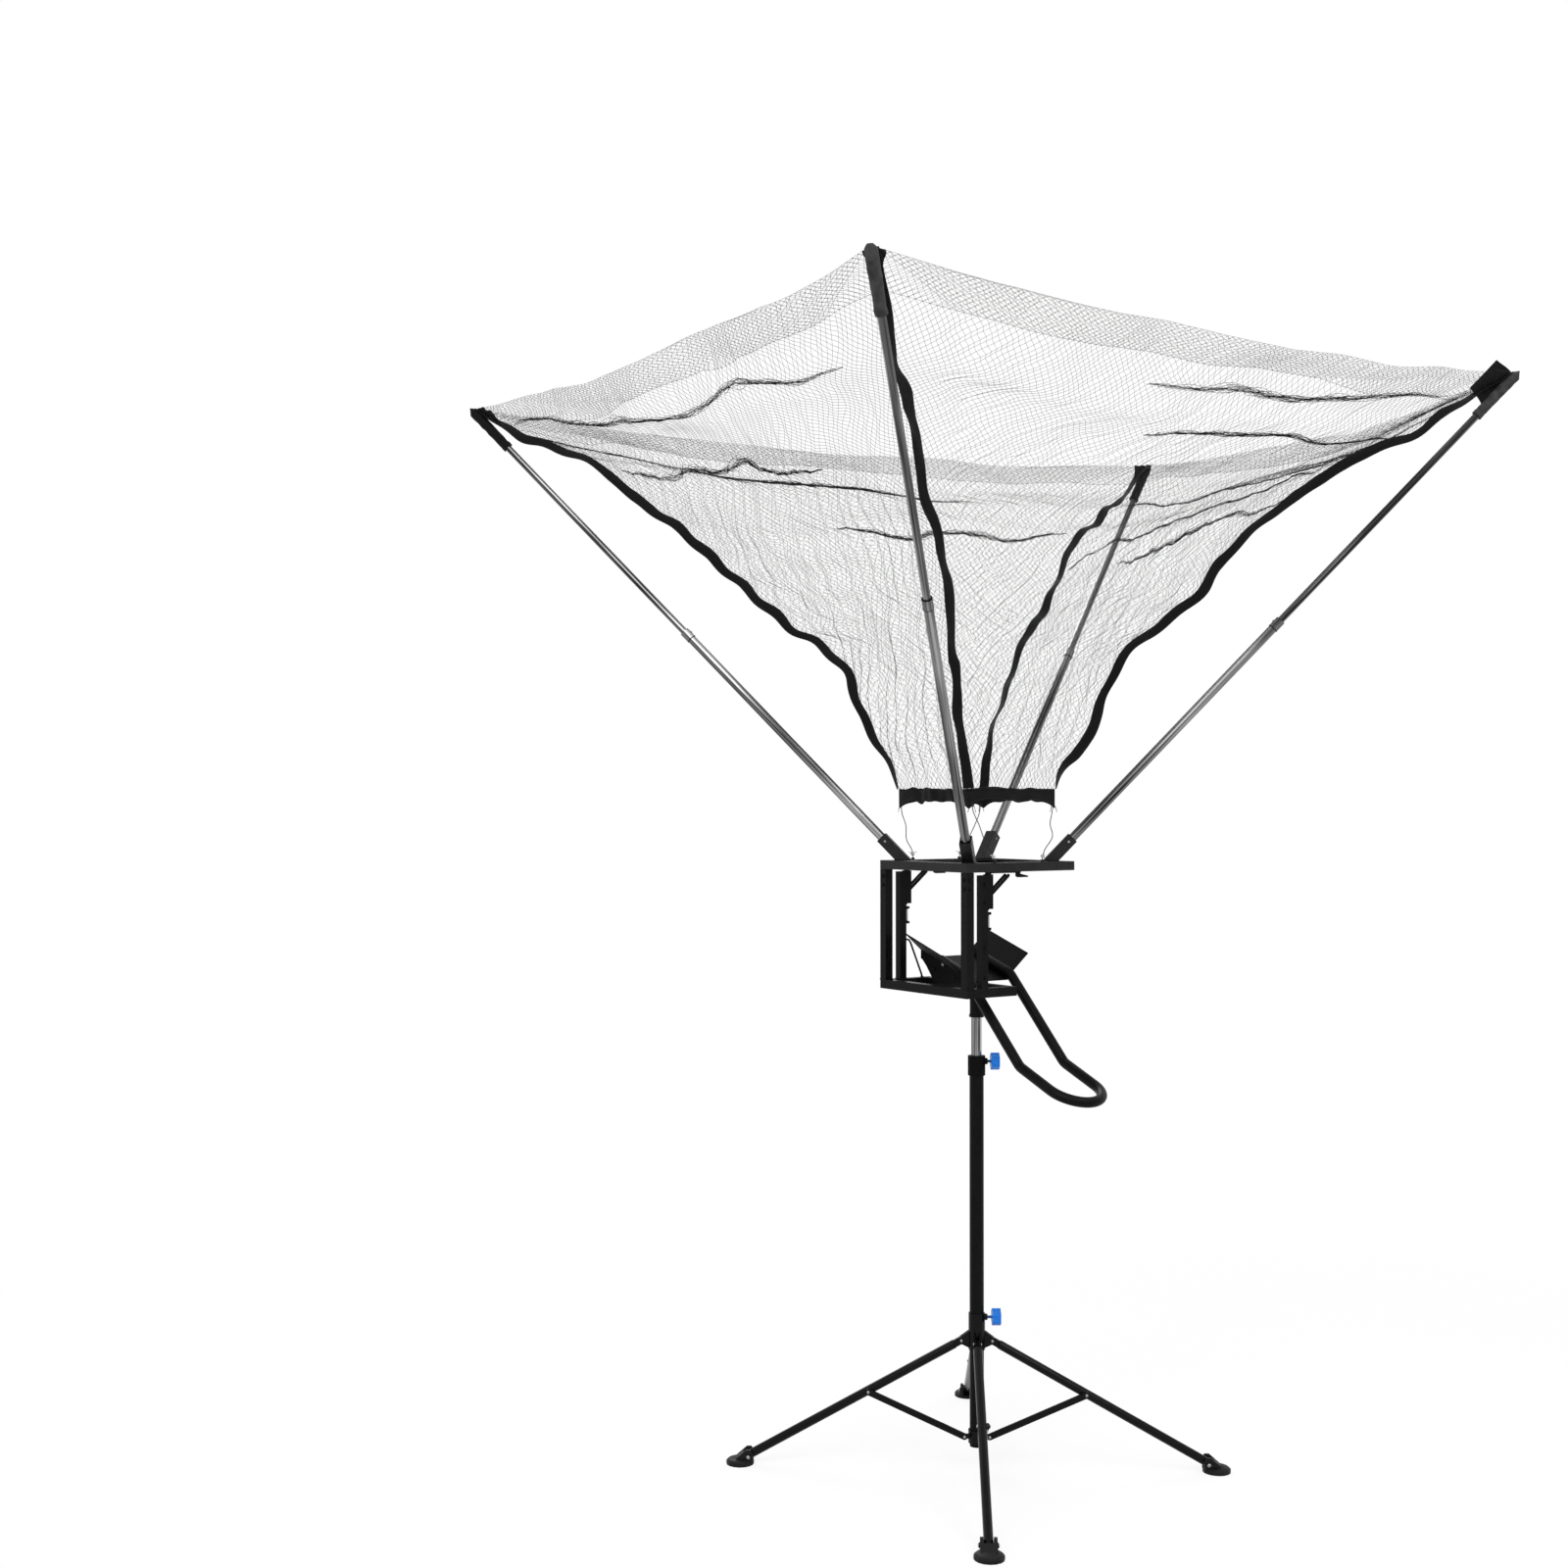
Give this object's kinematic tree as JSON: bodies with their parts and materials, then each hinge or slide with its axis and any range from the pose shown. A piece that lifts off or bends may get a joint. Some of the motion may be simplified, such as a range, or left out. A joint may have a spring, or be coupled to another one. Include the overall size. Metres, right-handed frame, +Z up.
{
  "type": "basketball return net",
  "caption": "Basketball return net: a funnel net on leaning poles over a tube frame, with a chute that sends the ball back, on a folding stand with a telescoping mast.",
  "frame": {"origin": "on the floor, under the middle of the mast", "axes": "+Z up along the mast, -Y the way the chute sends the ball, -X towards the posts of the head"},
  "size_m": [2.2906, 2.0854, 3.0395],
  "materials": {
    "powder_black": "satin black powder coat",
    "chrome": "bright plated tube",
    "aluminium": "satin grey tube",
    "knob_blue": "moulded blue plastic",
    "foot_plastic": "moulded black plastic",
    "webbing": "woven black webbing",
    "netting": "knotted black netting",
    "tie_cord": "thin black cord"
  },
  "bodies": {
    "base": {"lower_tube": "powder_black", "clamp_collar": "powder_black", "brace_collar": "powder_black"},
    "hub": {"leg_hub": "powder_black"},
    "leg_back_right": {"leg_back_right": "powder_black"},
    "leg_back_left": {"leg_back_left": "powder_black"},
    "leg_front_left": {"leg_front_left": "powder_black"},
    "leg_front_right": {"leg_front_right": "powder_black"},
    "brace_back_right": {"brace_back_right": "powder_black"},
    "brace_back_left": {"brace_back_left": "powder_black"},
    "brace_front_left": {"brace_front_left": "powder_black"},
    "brace_front_right": {"brace_front_right": "powder_black"},
    "foot_back_right": {"foot_back_right": "foot_plastic"},
    "foot_back_left": {"foot_back_left": "foot_plastic"},
    "foot_front_left": {"foot_front_left": "foot_plastic"},
    "foot_front_right": {"foot_front_right": "foot_plastic"},
    "mast": {"mast_tube": "chrome"},
    "head": {"head_socket": "powder_black", "lower_frame": "powder_black", "outer_post_front": "powder_black", "outer_post_back": "powder_black", "inner_post_front": "powder_black", "inner_post_back": "powder_black", "latch_pin_front": "chrome", "latch_pin_back": "chrome", "bracket_arm_front": "powder_black", "bracket_arm_back": "powder_black", "chute_trough": "powder_black", "chute_rail": "powder_black"},
    "canopy": {"top_frame": "powder_black", "bracket_leaf_front": "powder_black", "bracket_leaf_back": "powder_black", "lower_pole_front_left": "aluminium", "lower_pole_back_left": "aluminium", "lower_pole_front_right": "aluminium", "lower_pole_back_right": "aluminium", "upper_pole_front_left": "aluminium", "upper_pole_back_left": "aluminium", "upper_pole_front_right": "aluminium", "upper_pole_back_right": "aluminium", "corner_webbing_front_left": "webbing", "corner_webbing_back_left": "webbing", "corner_webbing_front_right": "webbing", "corner_webbing_back_right": "webbing", "net_panel_left": "netting", "net_panel_back": "netting", "net_panel_right": "netting", "net_panel_front": "netting", "bottom_hem": "webbing", "tie_cord_front_left": "tie_cord", "tie_cord_back_left": "tie_cord", "tie_cord_front_right": "tie_cord", "tie_cord_back_right": "tie_cord"},
    "strut_front": {"bracket_strut_front": "powder_black"},
    "strut_back": {"bracket_strut_back": "powder_black"},
    "lever_front": {"release_lever_front": "powder_black"},
    "lever_back": {"release_lever_back": "powder_black"},
    "mast_knob": {"mast_knob": "knob_blue"},
    "hub_knob": {"hub_knob": "knob_blue"}
  },
  "joints": [
    {"name": "hub_slide", "type": "slide", "parent": "base", "child": "hub", "axis": [0, 0, 1], "range_m": [0, 0.3]},
    {"name": "leg_back_right_hinge", "type": "hinge", "parent": "hub", "child": "leg_back_right", "pos_m": [0.02588, 0.03434, 0.355], "axis": [-0.7986, 0.6018, 0], "range_deg": [0, 44.5]},
    {"name": "leg_back_left_hinge", "type": "hinge", "parent": "hub", "child": "leg_back_left", "pos_m": [-0.03434, 0.02588, 0.355], "axis": [-0.6018, -0.7986, 0], "range_deg": [0, 44.5]},
    {"name": "leg_front_left_hinge", "type": "hinge", "parent": "hub", "child": "leg_front_left", "pos_m": [-0.02588, -0.03434, 0.355], "axis": [0.7986, -0.6018, 0], "range_deg": [0, 44.5]},
    {"name": "leg_front_right_hinge", "type": "hinge", "parent": "hub", "child": "leg_front_right", "pos_m": [0.03434, -0.02588, 0.355], "axis": [0.6018, 0.7986, 0], "range_deg": [0, 44.5]},
    {"name": "brace_back_right_hinge", "type": "hinge", "parent": "base", "child": "brace_back_right", "pos_m": [0.03344, 0.01862, 0.09], "axis": [-0.7986, 0.6018, 0], "range_deg": [-47.5, 0]},
    {"name": "brace_back_left_hinge", "type": "hinge", "parent": "base", "child": "brace_back_left", "pos_m": [-0.03728, 0.00869, 0.09], "axis": [-0.6018, -0.7986, 0], "range_deg": [-47.5, 0]},
    {"name": "brace_front_left_hinge", "type": "hinge", "parent": "base", "child": "brace_front_left", "pos_m": [-0.00869, -0.03728, 0.09], "axis": [0.7986, -0.6018, 0], "range_deg": [-47.5, 0]},
    {"name": "brace_front_right_hinge", "type": "hinge", "parent": "base", "child": "brace_front_right", "pos_m": [0.01862, -0.03344, 0.09], "axis": [0.6018, 0.7986, 0], "range_deg": [-47.5, 0]},
    {"name": "foot_back_right_hinge", "type": "hinge", "parent": "leg_back_right", "child": "foot_back_right", "pos_m": [0.38516, 0.51113, 0.024], "axis": [-0.7986, 0.6018, 0], "range_deg": [-48, 10]},
    {"name": "foot_back_left_hinge", "type": "hinge", "parent": "leg_back_left", "child": "foot_back_left", "pos_m": [-0.51113, 0.38516, 0.024], "axis": [-0.6018, -0.7986, 0], "range_deg": [-48, 10]},
    {"name": "foot_front_left_hinge", "type": "hinge", "parent": "leg_front_left", "child": "foot_front_left", "pos_m": [-0.38516, -0.51113, 0.024], "axis": [0.7986, -0.6018, 0], "range_deg": [-48, 10]},
    {"name": "foot_front_right_hinge", "type": "hinge", "parent": "leg_front_right", "child": "foot_front_right", "pos_m": [0.51113, -0.38516, 0.024], "axis": [0.6018, 0.7986, 0], "range_deg": [-48, 10]},
    {"name": "mast_slide", "type": "slide", "parent": "base", "child": "mast", "axis": [0, 0, 1], "range_m": [-0.09, 0.55]},
    {"name": "head_swivel", "type": "hinge", "parent": "mast", "child": "head", "pos_m": [0, 0, 1.29], "axis": [0, 0, 1], "continuous": true},
    {"name": "frame_fold", "type": "hinge", "parent": "head", "child": "canopy", "pos_m": [-0.108, 0, 1.662], "axis": [0, 1, 0], "range_deg": [0, 25]},
    {"name": "strut_front_hinge", "type": "hinge", "parent": "head", "child": "strut_front", "pos_m": [-0.106, -0.18, 1.61], "axis": [0, 1, 0], "range_deg": [0, 30]},
    {"name": "strut_back_hinge", "type": "hinge", "parent": "head", "child": "strut_back", "pos_m": [-0.106, 0.18, 1.61], "axis": [0, 1, 0], "range_deg": [0, 30]},
    {"name": "lever_front_hinge", "type": "hinge", "parent": "canopy", "child": "lever_front", "pos_m": [-0.003, -0.18, 1.662], "axis": [0, 1, 0], "range_deg": [0, 20], "stiffness_Nm_per_rad": 0.05, "springref_deg": -28.65},
    {"name": "lever_back_hinge", "type": "hinge", "parent": "canopy", "child": "lever_back", "pos_m": [-0.003, 0.18, 1.662], "axis": [0, 1, 0], "range_deg": [0, 20], "stiffness_Nm_per_rad": 0.05, "springref_deg": -28.65},
    {"name": "mast_knob_turn", "type": "hinge", "parent": "base", "child": "mast_knob", "pos_m": [0, 0, 1.135], "axis": [0.829, -0.5592, 0], "range_deg": [0, 360]},
    {"name": "hub_knob_turn", "type": "hinge", "parent": "hub", "child": "hub_knob", "pos_m": [0, 0, 0.42], "axis": [0.829, -0.5592, 0], "range_deg": [0, 360]}
  ],
  "couplings": [
    {"joint": "leg_back_right_hinge", "follows": "hub_slide", "rad_per_m": 2.5851},
    {"joint": "leg_back_left_hinge", "follows": "hub_slide", "rad_per_m": 2.5851},
    {"joint": "leg_front_left_hinge", "follows": "hub_slide", "rad_per_m": 2.5851},
    {"joint": "leg_front_right_hinge", "follows": "hub_slide", "rad_per_m": 2.5851},
    {"joint": "brace_back_right_hinge", "follows": "hub_slide", "rad_per_m": -2.7599},
    {"joint": "brace_back_left_hinge", "follows": "hub_slide", "rad_per_m": -2.7599},
    {"joint": "brace_front_left_hinge", "follows": "hub_slide", "rad_per_m": -2.7599},
    {"joint": "brace_front_right_hinge", "follows": "hub_slide", "rad_per_m": -2.7599},
    {"joint": "strut_front_hinge", "follows": "frame_fold", "ratio": 1.2},
    {"joint": "strut_back_hinge", "follows": "frame_fold", "ratio": 1.2}
  ]
}
